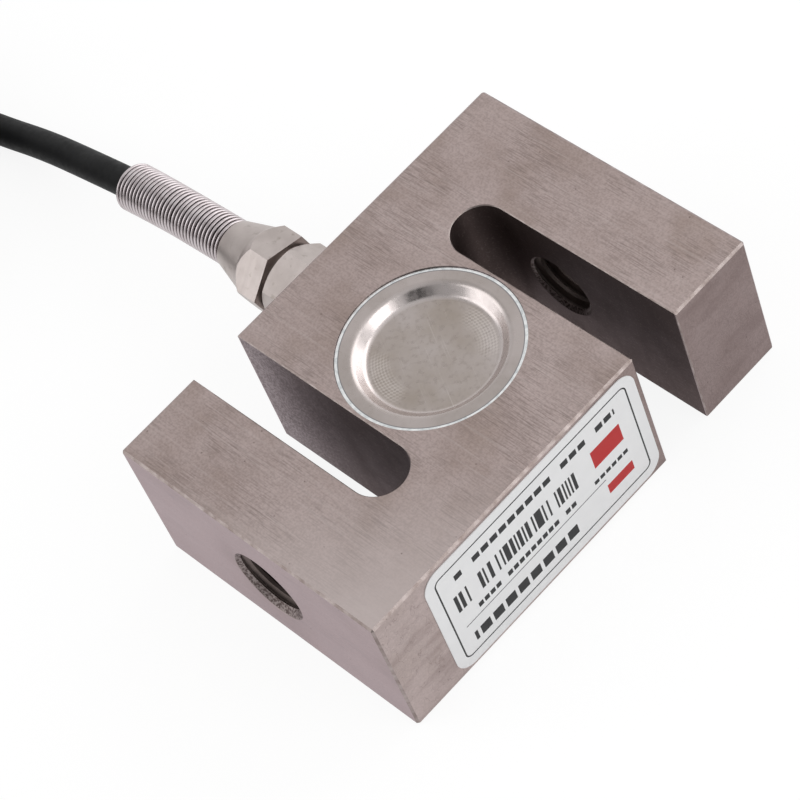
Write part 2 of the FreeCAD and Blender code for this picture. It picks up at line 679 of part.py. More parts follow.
def make_strain_relief_spring():
    """The bend spring: a close wound wire helix that stands on the nose and droops a little."""
    body = add_body("strain_relief_spring")
    wire = add_sketch(body, "spring_wire", "XZ_Plane")
    tilt_room = "Sizes.spring_radius * tan(Sizes.spring_droop * 1 deg)"
    draw_circle(wire, "Sizes.spring_radius", f"Sizes.spring_wire / 2 + {tilt_room}",
                "Sizes.spring_wire / 2")
    add_feature(
        body, "PartDesign::AdditiveHelix", "spring_helix", wire,
        ReferenceAxis=(wire, ["V_Axis"]), Mode="pitch-turns-angle",
        Pitch="=Sizes.spring_pitch", Turns="=Sizes.spring_turns",
    )
    droop = FreeCAD.Rotation(FreeCAD.Vector(0, 1, 0), -cell("spring_droop"))
    body.Placement = FreeCAD.Placement(FreeCAD.Vector(0, 0, 0), droop * gland_placement(0).Rotation)
    body.setExpression("Placement.Base.x", f"-Sizes.block_width / 2 - ({NOSE_END})")
    body.setExpression("Placement.Base.y", "Sizes.port_offset")
    raise_to_middle(body)


def make_cable():
    """The free stretch of cable, from inside the beam down to the bench and up to the coil."""
    start = FreeCAD.Vector(-cell("block_width") / 2 + cell("cable_inset"), cell("port_offset"),
                           cell("block_height") / 2)
    points = [start] + [FreeCAD.Vector(*point) for point in CABLE_DROP]
    make_tube("cable", points, cell("cable_radius"))
    return points


def coil_frame(points):
    """The coil's own frame: its lead-in runs along local X and joins the end of the cable."""
    heading = points[-1] - points[-2]
    heading.normalize()
    outer_turn = cell("coil_radius") + (cell("coil_rows") - 1) * cell("cable_radius")
    sideways = FreeCAD.Vector(-heading.y, heading.x, 0)
    centre = points[-1] + heading * cell("coil_lead") + sideways * outer_turn
    turn = math.degrees(math.atan2(-heading.y, -heading.x))
    return FreeCAD.Placement(
        FreeCAD.Vector(centre.x, centre.y, 0), FreeCAD.Rotation(FreeCAD.Vector(0, 0, 1), turn)
    )


INNER_WALL = "Sizes.coil_radius - Sizes.coil_rows * Sizes.cable_radius"
OUTER_WALL = "Sizes.coil_radius + Sizes.coil_rows * Sizes.cable_radius"
STEP_WALL = f"{OUTER_WALL} - 2 * Sizes.cable_radius"
COIL_TOP = "2 * Sizes.coil_layers * Sizes.cable_radius"
STEP_TOP = f"{COIL_TOP} - 2 * Sizes.cable_radius"


def make_coil(frame):
    """The put-away length as one solid: the top layer's outer turn stops where the tail ends."""
    body = add_body("cable_coil")
    section = [
        (INNER_WALL, "0"),
        (OUTER_WALL, "0"),
        (OUTER_WALL, STEP_TOP),
        (STEP_WALL, STEP_TOP),
        (STEP_WALL, COIL_TOP),
        (INNER_WALL, COIL_TOP),
    ]
    turned(body, "Revolution", "coil_turns", section)
    tail = add_sketch(body, "tail_section", "XZ_Plane")
    inside = f"{STEP_WALL} - Sizes.cable_radius"
    tail_corners = [
        (f"-({inside})", f"{STEP_TOP} - Sizes.cable_radius"),
        (f"-({OUTER_WALL})", f"{STEP_TOP} - Sizes.cable_radius"),
        (f"-({OUTER_WALL})", COIL_TOP),
        (f"-({inside})", COIL_TOP),
    ]
    draw_outline(tail, tail_corners)
    add_feature(body, "PartDesign::Revolution", "coil_tail", tail,
                ReferenceAxis=(tail, ["V_Axis"]), Angle="=Sizes.tail_angle")
    lead = add_sketch(body, "lead_section", "YZ_Plane")
    draw_circle(lead, f"{OUTER_WALL} - Sizes.cable_radius", "Sizes.cable_radius",
                "Sizes.cable_radius - Sizes.rest_clearance")
    add_feature(body, "PartDesign::Pad", "coil_lead_in", lead, Length="=Sizes.coil_lead")
    notch = add_sketch(body, "tie_notch_outline")
    half = "Sizes.tie_width / 2 + Sizes.rest_clearance"
    turn = "Sizes.tie_angle * 1 deg"
    play = "Sizes.tie_clearance"
    corners = []
    for along, across in (
        (f"({INNER_WALL} - {play})", f"-({half})"),
        (f"({OUTER_WALL} + {play})", f"-({half})"),
        (f"({OUTER_WALL} + {play})", f"({half})"),
        (f"({INNER_WALL} - {play})", f"({half})"),
    ):
        corners.append((
            f"{along} * cos({turn}) - {across} * sin({turn})",
            f"{along} * sin({turn}) + {across} * cos({turn})",
        ))
    draw_outline(notch, corners)
    add_feature(body, "PartDesign::Pocket", "tie_notch", notch, Reversed=True,
                Length="=Sizes.tie_thickness + Sizes.rest_clearance")
    body.Placement = frame


def make_coil_tie(frame):
    """A strap closed round the coil's section."""
    body = add_body("coil_tie")
    thick = "Sizes.tie_thickness"
    play = "Sizes.tie_clearance"
    inner = [
        (f"{INNER_WALL} - {play}", thick),
        (f"{OUTER_WALL} + {play}", thick),
        (f"{OUTER_WALL} + {play}", f"{COIL_TOP} + {play}"),
        (f"{INNER_WALL} - {play}", f"{COIL_TOP} + {play}"),
    ]
    outer = [
        (f"{INNER_WALL} - {play} - {thick}", "0"),
        (f"{OUTER_WALL} + {play} + {thick}", "0"),
        (f"{OUTER_WALL} + {play} + {thick}", f"{COIL_TOP} + {play} + {thick}"),
        (f"{INNER_WALL} - {play} - {thick}", f"{COIL_TOP} + {play} + {thick}"),
    ]
    full = add_sketch(body, "tie_outer", "XZ_Plane")
    draw_outline(full, outer)
    add_feature(body, "PartDesign::Pad", "tie_band", full, SideType="Symmetric",
                Length="=Sizes.tie_width")
    opening = add_sketch(body, "tie_inner", "XZ_Plane")
    draw_outline(opening, inner)
    add_feature(body, "PartDesign::Pocket", "tie_opening", opening, SideType="Symmetric",
                Length="=2 * Sizes.tie_width")
    spin = FreeCAD.Rotation(FreeCAD.Vector(0, 0, 1), cell("tie_angle"))
    body.Placement = FreeCAD.Placement(frame.Base, frame.Rotation * spin)


def make_along_coil(label, frame, path_radius, height, radius, start, sweep):
    """A round piece that lies along the coil, from one angle of it over a sweep in degrees."""
    piece = doc.addObject("Part::Torus", label)
    piece.Label = label
    piece.setExpression("Radius1", path_radius)
    piece.setExpression("Radius2", radius)
    piece.setExpression("Angle3", sweep)
    spin = FreeCAD.Rotation(FreeCAD.Vector(0, 0, 1), number(sheet, start))
    piece.Placement = FreeCAD.Placement(frame.Base, frame.Rotation * spin)
    piece.setExpression("Placement.Base.z", height)
    subparts.append(piece)


def make_stripped_end(frame):
    """The bare end of the cable: a shrink sleeve, four cores with tinned tips and the shield."""
    tail_end = "180 + Sizes.tail_angle"
    sleeve_path = f"{STEP_WALL} + Sizes.sleeve_radius + Sizes.rest_clearance"
    step = f"{STEP_TOP} + Sizes.rest_clearance"
    make_along_coil("end_sleeve", frame, sleeve_path, f"{step} + Sizes.sleeve_radius",
                    "Sizes.sleeve_radius", tail_end, "Sizes.sleeve_angle")
    cores_start = f"{tail_end} + Sizes.sleeve_angle"
    tips_start = f"{cores_start} + Sizes.core_angle"
    for index, colour in enumerate(CORE_COLOURS):
        inward = "-" if index % 2 else "+"
        layer = 3 if index > 1 else 1
        path = f"{sleeve_path} {inward} Sizes.core_spacing"
        height = f"{step} + {layer} * Sizes.core_spacing"
        make_along_coil(f"core_{colour}", frame, path, height, "Sizes.core_radius",
                        cores_start, "Sizes.core_angle")
        make_along_coil(f"core_tip_{colour}", frame, path, height, "Sizes.tip_radius",
                        tips_start, "Sizes.tip_angle")
    make_along_coil("shield_wire", frame, sleeve_path, f"{step} + 5 * Sizes.core_spacing",
                    "Sizes.tip_radius", cores_start, "Sizes.shield_angle")


def make_label():
    """The foil label with round corners on the beam's end beside the cover."""
    body = add_body("rating_label")
    sketch = add_sketch(body, "label_outline", "YZ_Plane", lift="Sizes.block_width / 2")
    half_length = "Sizes.label_length / 2"
    half_height = "Sizes.label_height / 2"
    corners = [
        (f"Sizes.label_shift - {half_length}", f"-{half_height}"),
        (f"Sizes.label_shift + {half_length}", f"-{half_height}"),
        (f"Sizes.label_shift + {half_length}", half_height),
        (f"Sizes.label_shift - {half_length}", half_height),
    ]
    draw_outline(sketch, corners)
    add_feature(body, "PartDesign::Pad", "label_foil", sketch, Length="=Sizes.label_thickness")

    def is_corner(edge, middle):
        return near(edge.Length, cell("label_thickness"))

    dress(body, "Fillet", "label_corners", edges_where(body.Shape, is_corner),
          "Sizes.label_corner")
    raise_to_middle(body)


make_load_beam()
make_cover("front_cover", 0)
make_cover("back_cover", 180)
make_sealant("front_sealant", 0)
make_sealant("back_sealant", 180)
make_gauge_pocket()
make_inner_leads()
make_gland_body()
make_gland_nut()
make_gland_seals()
make_strain_relief_spring()
cable_points = make_cable()
coil_place = coil_frame(cable_points)
make_coil(coil_place)
make_coil_tie(coil_place)
make_stripped_end(coil_place)
make_label()
doc.recompute()

for item in doc.Objects:
    if "Invalid" in item.State or "Error" in item.State:
        raise RuntimeError(f"{item.Name} failed: {item.State}")
os.makedirs("parts", exist_ok=True)
for item in subparts:
    if item.Shape.isNull() or not item.Shape.isValid():
        raise RuntimeError(f"{item.Label} has no valid shape")
for item in subparts:
    item.Shape.exportStep(f"parts/{item.Label}.step")
    print(item.Label, "solids", len(item.Shape.Solids), "volume", round(item.Shape.Volume, 2))
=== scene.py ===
import math

import bmesh
import bpy
import numpy as np
from mathutils import Matrix, Vector


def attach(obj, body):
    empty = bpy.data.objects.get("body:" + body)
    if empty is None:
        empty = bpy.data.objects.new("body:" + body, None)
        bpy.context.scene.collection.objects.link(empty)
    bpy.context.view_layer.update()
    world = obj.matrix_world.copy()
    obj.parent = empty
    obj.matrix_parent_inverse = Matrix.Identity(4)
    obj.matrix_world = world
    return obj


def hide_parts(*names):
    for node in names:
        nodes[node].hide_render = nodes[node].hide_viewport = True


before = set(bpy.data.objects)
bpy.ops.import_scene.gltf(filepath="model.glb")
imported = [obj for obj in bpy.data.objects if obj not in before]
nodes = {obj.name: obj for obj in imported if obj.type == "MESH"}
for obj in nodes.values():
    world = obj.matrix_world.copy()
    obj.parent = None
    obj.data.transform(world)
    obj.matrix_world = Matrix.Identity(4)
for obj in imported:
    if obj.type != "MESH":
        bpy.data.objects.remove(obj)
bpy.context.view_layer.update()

collection = bpy.context.scene.collection

# ------------------------------------------------------------------------------------------
# The view: a long lens looks down on the front cover, from beyond the lower threaded arm and
# the end that carries the label.

view_place = Vector((0.25231, -0.13408, 0.38627))
view_ahead = Vector((-0.54718, 0.27421, -0.79082)).normalized()
view_top = Vector((-0.46290, 0.68804, 0.55886))

lens = bpy.data.cameras.new("view")
lens.sensor_width = 36.0
lens.lens = 149.12
lens.clip_end = 10.0
camera = bpy.data.objects.new("view", lens)
view_right = view_ahead.cross(view_top).normalized()
view_turn = Matrix((view_right, view_right.cross(view_ahead), -view_ahead)).transposed()
camera.matrix_world = Matrix.Translation(view_place) @ view_turn.to_4x4()
collection.objects.link(camera)
bpy.context.scene.camera = camera

# ------------------------------------------------------------------------------------------
# The cable: two metres of round screened four-core cable in a matt black jacket. It leaves
# the beam through the gland, sinks to the bench under its own weight, and its spare length
# is wound behind into a round coil of four layers, each turn in a lane beside the last.


def add_node(tree, kind, inputs=None, **settings):
    """One shader node. settings are its own choices; inputs are values or sockets to join."""
    made = tree.nodes.new("ShaderNode" + kind)
    for name, value in settings.items():
        setattr(made, name, value)
    for key, value in (inputs or {}).items():
        if isinstance(value, bpy.types.NodeSocket):
            tree.links.new(value, made.inputs[key])
        else:
            made.inputs[key].default_value = value
    return made


def blank_finish(name, colour, **fixed):
    """A finish with one shader. fixed are plain values that stay on the shader's own sockets."""
    finish = bpy.data.materials.new(name)
    finish.use_nodes = True
    finish.diffuse_color = (*colour, 1.0)
    shader = finish.node_tree.nodes["Principled BSDF"]
    shader.inputs["Base Color"].default_value = (*colour, 1.0)
    for socket, value in fixed.items():
        shader.inputs[socket.replace("_", " ")].default_value = value
    return finish, finish.node_tree, shader


def grain(tree, size, detail=3.0, place=0.0, turn=0.0):
    """Noise from 0 to 1 over the piece's own coordinates. size is a grain's, in metres, the
    same each way or along X, Y and Z, turned about Z by an angle; place picks another part."""
    where = add_node(tree, "TexCoord").outputs["Object"]
    laid = add_node(tree, "Mapping", {
        "Vector": where, "Scale": size if isinstance(size, tuple) else (size,) * 3,
        "Location": (place, place, place), "Rotation": (0.0, 0.0, turn),
    }, vector_type="TEXTURE")
    made = add_node(tree, "TexNoise", {"Vector": laid.outputs[0], "Scale": 1.0, "Detail": detail})
    return made.outputs[0]


def spread(tree, value, low, high, to_low=0.0, to_high=1.0):
    """The straight line that takes low to to_low and high to to_high, held between them."""
    limits = {"From Min": low, "From Max": high, "To Min": to_low, "To Max": to_high}
    return add_node(tree, "MapRange", {"Value": value, **limits}).outputs[0]


def blend(tree, share, first, second):
    """A colour that is first at share 0 and second at share 1."""
    colours = [c if isinstance(c, bpy.types.NodeSocket) else (*c, 1.0) for c in (first, second)]
    made = add_node(tree, "Mix", {0: share, 6: colours[0], 7: colours[1]}, data_type="RGBA")
    return made.outputs[2]


def calculate(tree, operation, first, second=0.0, third=0.0):
    """One operation of a Math node."""
    return add_node(tree, "Math", {0: first, 1: second, 2: third}, operation=operation).outputs[0]


def product(tree, *values):
    """The values multiplied together; of masks of 0 and 1 it is 1 where all of them are."""
    made = values[0]
    for value in values[1:]:
        made = calculate(tree, "MULTIPLY", made, value)
    return made


def raise_surface(tree, shader, height, depth):
    """Bump: the height pattern stands up to depth metres out of the surface."""
    bump = add_node(tree, "Bump", {"Height": height, "Distance": depth, "Strength": 1.0})
    tree.links.new(bump.outputs[0], shader.inputs["Normal"])


jacket_finish, tree, shader = blank_finish("cable_jacket", (0.01, 0.01, 0.0105),
                                           Specular_IOR_Level=0.2)
scuffs = grain(tree, 0.0011, detail=4.0)
handled = grain(tree, 0.0083, place=3.0)
black = blend(tree, spread(tree, handled, 0.35, 0.7),
              (0.007, 0.007, 0.0075), (0.013, 0.013, 0.0135))
tree.links.new(black, shader.inputs["Base Color"])
tree.links.new(spread(tree, scuffs, 0.3, 0.7, 0.5, 0.65), shader.inputs["Roughness"])
raise_surface(tree, shader, scuffs, 0.00002)

jacket_diameter = 0.005
cable_exit = (-0.020, 0.00165, 0.0127)
cable_drop = np.array([
    cable_exit,
    (-0.051, 0.00165, 0.01285),
    (-0.070, 0.00150, 0.0106),
    (-0.082, 0.00130, 0.00795),
    (-0.095, 0.00110, 0.00475),
    (-0.106, -0.00020, 0.0025),
    (-0.116, -0.00190, 0.0025),
])

# Angles of the coil are in degrees, from its own zero, which coil_turned turns to its place.
coil_centre = np.array([-0.130270, -0.037292])
coil_turned = 9.648
coil_start = 90.0
coil_end = 4020.0
coil_steps = 175
lane_change = 45.0
lanes_inward = np.array([0.0325, 0.0275, 0.0225])
lane_radius = np.concatenate([lanes_inward, lanes_inward[::-1]] * 2)
lane_height = np.repeat([0.0025, 0.0075, 0.0125, 0.0175], len(lanes_inward))


def coil_points():
    """Corners of the polygon round the winding: at each angle a the radius r and the height
    are the lane's, or slide to the next lane's over lane_change degrees, and a corner stands
    at r / cos(half a step), so that the curve inside the polygon keeps to r."""
    climbs = np.diff(lane_height) > 0
    beside_climb = climbs | np.concatenate([[True], climbs[:-1]])
    changes = coil_start + np.cumsum(np.where(beside_climb, 360.0 - lane_change, 360.0))
    knots = np.stack([changes, changes + lane_change], axis=1).ravel()
    step = (coil_end - coil_start) / coil_steps
    angle = np.append(coil_start + step * (np.arange(coil_steps) + 0.5), coil_end)
    sampled = np.append(angle[:-1], coil_end)
    radius = np.interp(sampled, knots, np.stack([lane_radius[:-1], lane_radius[1:]], 1).ravel())
    height = np.interp(sampled, knots, np.stack([lane_height[:-1], lane_height[1:]], 1).ravel())
    outside = np.append(np.full(coil_steps, 1 / math.cos(math.radians(step / 2))), 1.0)
    turn = np.radians(angle + coil_turned)
    across = radius * outside
    return np.stack([
        coil_centre[0] + across * np.cos(turn), coil_centre[1] + across * np.sin(turn), height
    ], axis=1)


def lay_curve(name, points, thickness, finish):
    """A round cord on a NURBS line of order 3 that has the points as its control points."""
    data = bpy.data.curves.new(name, "CURVE")
    data.dimensions = "3D"
    line = data.splines.new("NURBS")
    line.points.add(len(points) - 1)
    line.points.foreach_set("co", np.column_stack([points, np.ones(len(points))]).ravel())
    line.order_u = 3
    line.use_endpoint_u = True
    line.resolution_u = 10
    data.bevel_depth = thickness / 2
    data.bevel_resolution = 6
    data.use_fill_caps = True
    data.materials.append(finish)
    cord = bpy.data.objects.new(name, data)
    collection.objects.link(cord)
    return cord


cable = lay_curve("cable_line", np.vstack([cable_drop, coil_points()]), jacket_diameter,
                  jacket_finish)
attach(cable, "root")
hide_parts("cable", "cable_coil")


def final_mesh(piece):
    """The mesh that a piece ends as, with its modifiers applied."""
    shown = piece.evaluated_get(bpy.context.evaluated_depsgraph_get())
    return bpy.data.meshes.new_from_object(shown)


def line_points(cord):
    """The points of a cord's own centre line, as Blender lays it."""
    bare = cord.copy()
    bare.data = cord.data.copy()
    bare.data.bevel_depth = 0.0
    collection.objects.link(bare)
    laid = final_mesh(bare)
    points = np.empty(3 * len(laid.vertices))
    laid.vertices.foreach_get("co", points)
    bpy.data.objects.remove(bare)
    return points.reshape(-1, 3)


cable_line = line_points(cable)
cable_steps = np.linalg.norm(np.diff(cable_line, axis=0), axis=1)
cable_reach = np.concatenate([[0.0], np.cumsum(cable_steps)])

# ------------------------------------------------------------------------------------------
# The coil's strap: a strip of black hook and loop tape, wrapped once round all the turns and
# pressed shut on itself.

tape_finish, tree, shader = blank_finish("strap", (0.02, 0.02, 0.022), Roughness=0.9,
                                         Sheen_Weight=0.35, Sheen_Roughness=0.4)
loops = grain(tree, 0.0003, detail=2.0)
tree.links.new(blend(tree, spread(tree, loops, 0.35, 0.65), (0.012, 0.012, 0.013),
                     (0.05, 0.05, 0.053)), shader.inputs["Base Color"])
raise_surface(tree, shader, loops, 0.0001)

tape_angle = 290.0
tape_width = 0.008
tape_thickness = 0.0006
tape_corner = 0.0022
tape_inner, tape_outer = 0.0195, 0.0355
tape_low, tape_high = 0.0003, 0.0205


def add_piece(name, points, faces, finish):
    """A smooth mesh piece from its points and faces, riding with the beam."""
    data = bpy.data.meshes.new(name)
    data.from_pydata(points.reshape(-1, 3).tolist(), [], faces)
    data.materials.append(finish)
    data.shade_smooth()
    data.update()
    piece = bpy.data.objects.new(name, data)
    collection.objects.link(piece)
    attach(piece, "root")
    return piece


def grid_faces(rows, columns, close_rows=False, close_columns=False):
    """The four-sided faces of a grid of points, joined round at the closed sides."""
    index = np.arange(rows * columns).reshape(rows, columns)
    if close_rows:
        index = np.vstack([index, index[:1]])
    if close_columns:
        index = np.hstack([index, index[:, :1]])
    quads = np.stack([index[:-1, :-1], index[:-1, 1:], index[1:, 1:], index[1:, :-1]], axis=2)
    return quads.reshape(-1, 4).tolist()


def rounded_loop(low, high, corner, per_corner=8):
    """Points round a rectangle with round corners: quarter circles about four centres."""
    low, high = np.array(low) + corner, np.array(high) - corner
    quarter = np.linspace(0, math.pi / 2, per_corner)
    centres = [(high[0], high[1]), (low[0], high[1]), (low[0], low[1]), (high[0], low[1])]
    arcs = [
        np.stack([x + corner * np.cos(quarter + i * math.pi / 2),
                  z + corner * np.sin(quarter + i * math.pi / 2)], axis=1)
        for i, (x, z) in enumerate(centres)
    ]
    return np.concatenate(arcs)


def along_coil(radius, offset, height, angle):
    """Points at a radius of the coil and an offset along its turn, standing at an angle."""
    turn = math.radians(angle + coil_turned)
    out = np.array([math.cos(turn), math.sin(turn)])
    on = np.array([-math.sin(turn), math.cos(turn)])
    level = coil_centre + radius[..., None] * out + offset[..., None] * on
    return np.concatenate([level, height[..., None]], axis=-1)


inside = rounded_loop((tape_inner, tape_low + tape_thickness),
                      (tape_outer, tape_high), tape_corner)
outside = rounded_loop((tape_inner - tape_thickness, tape_low),
                       (tape_outer + tape_thickness, tape_high + tape_thickness),
                       tape_corner + tape_thickness)
edge = tape_thickness / 4
ring = [(outside, -tape_width / 2 + edge), (outside, tape_width / 2 - edge),
        (inside, tape_width / 2 - edge), (inside, -tape_width / 2 + edge)]
band = np.stack([along_coil(loop[:, 0], np.full(len(loop), at), loop[:, 1], tape_angle)
                 for loop, at in ring], axis=1)
tape = add_piece("coil_strap", band, grid_faces(len(inside), 4, True, True), tape_finish)
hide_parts("coil_tie")

# ------------------------------------------------------------------------------------------
# The stripped end of the cable: a shrink sleeve over the cut jacket, four tinned cores in
# coloured insulation, and the screen twisted into one bare wire.

insulation = {
    "red": ((0.52, 0.025, 0.02), (0.62, 0.045, 0.035)),
    "black": ((0.012, 0.012, 0.013), (0.03, 0.03, 0.03)),
    "green": ((0.015, 0.2, 0.06), (0.03, 0.28, 0.09)),
    "white": ((0.68, 0.67, 0.64), (0.8, 0.79, 0.77)),
}


def dress_node(node, finish):
    """Give a solid that stays as it is its finish."""
    mesh = nodes[node].data
    mesh.materials.clear()
    mesh.materials.append(finish)


sleeve_finish, tree, shader = blank_finish("shrink_sleeve", (0.02, 0.02, 0.02), Roughness=0.28)
wrinkles = grain(tree, 0.0033, detail=1.0)
tree.links.new(blend(tree, wrinkles, (0.012, 0.012, 0.012), (0.03, 0.03, 0.03)),
               shader.inputs["Base Color"])
raise_surface(tree, shader, wrinkles, 0.0001)
dress_node("end_sleeve", sleeve_finish)

tinned_finish, tree, shader = blank_finish("tinned_copper", (0.6, 0.58, 0.56), Metallic=1.0)
strands = grain(tree, 0.0004, detail=2.0)
tree.links.new(blend(tree, strands, (0.42, 0.39, 0.37), (0.7, 0.69, 0.68)),
               shader.inputs["Base Color"])
tree.links.new(spread(tree, strands, 0.2, 0.8, 0.25, 0.5), shader.inputs["Roughness"])
raise_surface(tree, shader, strands, 0.0001)
dress_node("shield_wire", tinned_finish)

insulation_finish = {}
for colour, (dull, bright) in insulation.items():
    finish, tree, shader = blank_finish(f"{colour}_insulation", bright)
    rubbed = grain(tree, 0.0014)
    tree.links.new(blend(tree, rubbed, dull, bright), shader.inputs["Base Color"])
    tree.links.new(spread(tree, rubbed, 0.3, 0.7, 0.28, 0.42), shader.inputs["Roughness"])
    raise_surface(tree, shader, rubbed, 0.00001)
    insulation_finish[colour] = finish
    dress_node(f"core_{colour}", finish)
    dress_node(f"core_tip_{colour}", tinned_finish)

# ------------------------------------------------------------------------------------------
# The beam: one block of alloy steel with two opposed slots, which leave an S. It is ground,
# drilled, tapped M12 through both arms, bored for the gauges, and then nickel plated. The
# slot walls are left as the cutter made them, and are painted dark there as painted shade.

slot_middle = 0.0189
slot_half_width = 0.0045
beam_half_width = 0.0254
beam_half_length = 0.0381
beam_height = 0.0254
outer_mouth = 0.0065
inner_mouth = 0.0057
skin = 0.00005  # what lies less deep than this counts as the outer face


def position(tree):
    """The piece's own X, Y and Z, in metres."""
    where = add_node(tree, "TexCoord").outputs["Object"]
    return add_node(tree, "SeparateXYZ", {0: where}).outputs


def facing(tree):
    """How much the surface faces along X, Y and Z, without sign."""
    normal = add_node(tree, "TexCoord").outputs["Normal"]
    plain = add_node(tree, "VectorMath", {0: normal}, operation="ABSOLUTE")
    return add_node(tree, "SeparateXYZ", {0: plain.outputs[0]}).outputs


nickel_finish, tree, shader = blank_finish("nickel_steel", (0.42, 0.34, 0.32), Metallic=1.0,
                                           Specular_Tint=(0.86, 0.81, 0.85, 1.0))
x, y, z = position(tree)
faces_x, faces_y, faces_z = facing(tree)
speckle = grain(tree, 0.00034, detail=3.0)
soot = 0.22, 0.175, 0.16

# The plating's tone changes in blotches and wide clouds, and a dark speckle lies all over.
blotches = grain(tree, 0.0050, detail=6.0)
clouds = grain(tree, 0.0130, detail=3.0, place=5.0)
plated = blend(tree, spread(tree, blotches, 0.35, 0.65),
               (0.42, 0.332, 0.308), (0.49, 0.397, 0.378))
plated = blend(tree, spread(tree, clouds, 0.38, 0.64, 0.0, 0.5), plated, (0.58, 0.482, 0.465))
plated = blend(tree, spread(tree, clouds, 0.45, 0.3, 0.0, 0.35), plated, (0.37, 0.285, 0.24))
plated = blend(tree, spread(tree, speckle, 0.35, 0.6, 0.3, 0.0), plated, soot)

# The grinding lines run along X. The short dark ones come in patches, the long ones are pale.
grinding = grain(tree, (0.0032, 0.0002, 0.0002), detail=2.0)
long_lines = grain(tree, (0.0180, 0.0004, 0.0004), detail=2.0, place=1.0)
patches = grain(tree, (0.0110, 0.0060, 0.0060), detail=2.0, place=3.0)
lines = product(tree, spread(tree, grinding, 0.34, 0.56, 1.0, 0.0),
                spread(tree, patches, 0.42, 0.62, 0.15, 0.60))
plated = blend(tree, lines, plated, soot)
plated = blend(tree, spread(tree, long_lines, 0.56, 0.7, 0.0, 0.14), plated, (0.7, 0.62, 0.6))

# The threaded ends are a little bluer; the corner by the label is paler: painted light.
plated = blend(tree, product(tree, faces_y, 0.35), plated, (0.45, 0.37, 0.40))
toward_corner = calculate(tree, "SUBTRACT", x, y)
corner_faces = calculate(tree, "ADD", faces_z, product(tree, faces_x, 0.4))
painted_light_corner = product(tree, spread(tree, toward_corner, 0.030, 0.058, 0.0, 0.75), corner_faces)
plated = blend(tree, painted_light_corner, plated, (0.62, 0.545, 0.53))

# Handling marks on the label's end and the opposite one: fine crooked scratches, where a
# stretched noise is halfway, and smears. On the label's end a painted shade deepens up the far
# arm.
crooked = grain(tree, (0.0050, 0.0028, 0.0042), detail=3.0, place=7.0)
near_half = calculate(tree, "ABSOLUTE", calculate(tree, "SUBTRACT", crooked, 0.5))
scratches = product(tree, spread(tree, near_half, 0.004, 0.012, 1.0, 0.0),
                    spread(tree, speckle, 0.42, 0.55),
                    spread(tree, faces_x, 0.7, 0.9, 0.0, 0.35))
plated = blend(tree, scratches, plated, (0.15, 0.11, 0.10))
smears = grain(tree, (0.0040, 0.0090, 0.0025), detail=4.0, place=8.0, turn=0.3)
end_smears = product(tree, faces_x, spread(tree, smears, 0.5, 0.7, 0.0, 0.4))
plated = blend(tree, end_smears, plated, (0.25, 0.19, 0.175))
on_label_end = calculate(tree, "GREATER_THAN", x, beam_half_width - 2 * skin)
painted_end_shade = product(tree, spread(tree, y, 0.0, 0.0200, 0.0, 0.5), on_label_end)
plated = blend(tree, painted_end_shade, plated, (0.14, 0.10, 0.095))

# Rare pits in the plating, at most one to a cell.
pit_cell = 0.002
cells = add_node(tree, "TexVoronoi", {
    "Vector": add_node(tree, "TexCoord").outputs["Object"], "Scale": 1 / pit_cell
})
pits = product(tree, spread(tree, grain(tree, 0.0030, place=9.0), 0.50, 0.56),
               spread(tree, cells.outputs["Distance"], 0.04, 0.09, 0.6, 0.0))
plated = blend(tree, pits, plated, (0.12, 0.09, 0.08))

# The broken edges are worn pale in places. They lie aslant: they face no axis squarely.
aslant = 0.8
flattest = calculate(tree, "MAXIMUM", calculate(tree, "MAXIMUM", faces_x, faces_y), faces_z)
broken_edge = calculate(tree, "LESS_THAN", flattest, aslant)
dashes = spread(tree, grain(tree, 0.0018, detail=5.0, place=2.0), 0.36, 0.66)
plated = blend(tree, broken_edge, plated,
               blend(tree, dashes, (0.26, 0.21, 0.195), (0.43, 0.37, 0.355)))

# The slot walls are painted dark as painted shade, with the cutter's marks upright on them.
# The lower slot is painted paler toward its mouth, as painted light.
away_from_slot = calculate(tree, "ABSOLUTE", calculate(
    tree, "SUBTRACT", calculate(tree, "ABSOLUTE", y), slot_middle))
in_slot = calculate(tree, "LESS_THAN", away_from_slot, slot_half_width + 4 * skin)
upright = calculate(tree, "LESS_THAN", faces_z, 0.6)
inside_ends = calculate(tree, "LESS_THAN", calculate(tree, "ABSOLUTE", x),
                        beam_half_width - 6 * skin)
slot_wall = product(tree, in_slot, upright, inside_ends)
cutter_marks = grain(tree, (0.0016, 0.0016, 0.0090), detail=4.0)
wall_shade = blend(tree, cutter_marks, (0.09, 0.066, 0.061), (0.15, 0.113, 0.106))
wall_shade = blend(tree, spread(tree, speckle, 0.56, 0.70, 0.0, 0.6), wall_shade, (0.22, 0.175, 0.165))
# Toward the lower slot's mouth the wall is painted paler: painted light.
painted_light_mouth = product(tree, spread(tree, x, -0.0060, -0.0240, 0.0, 0.85),
                      calculate(tree, "LESS_THAN", y, 0.0))
wall_painted_light = blend(tree, spread(tree, speckle, 0.4, 0.6), (0.26, 0.22, 0.225), (0.5, 0.44, 0.45))
wall_shade = blend(tree, painted_light_mouth, wall_shade, wall_painted_light)
plated = blend(tree, slot_wall, plated, wall_shade)

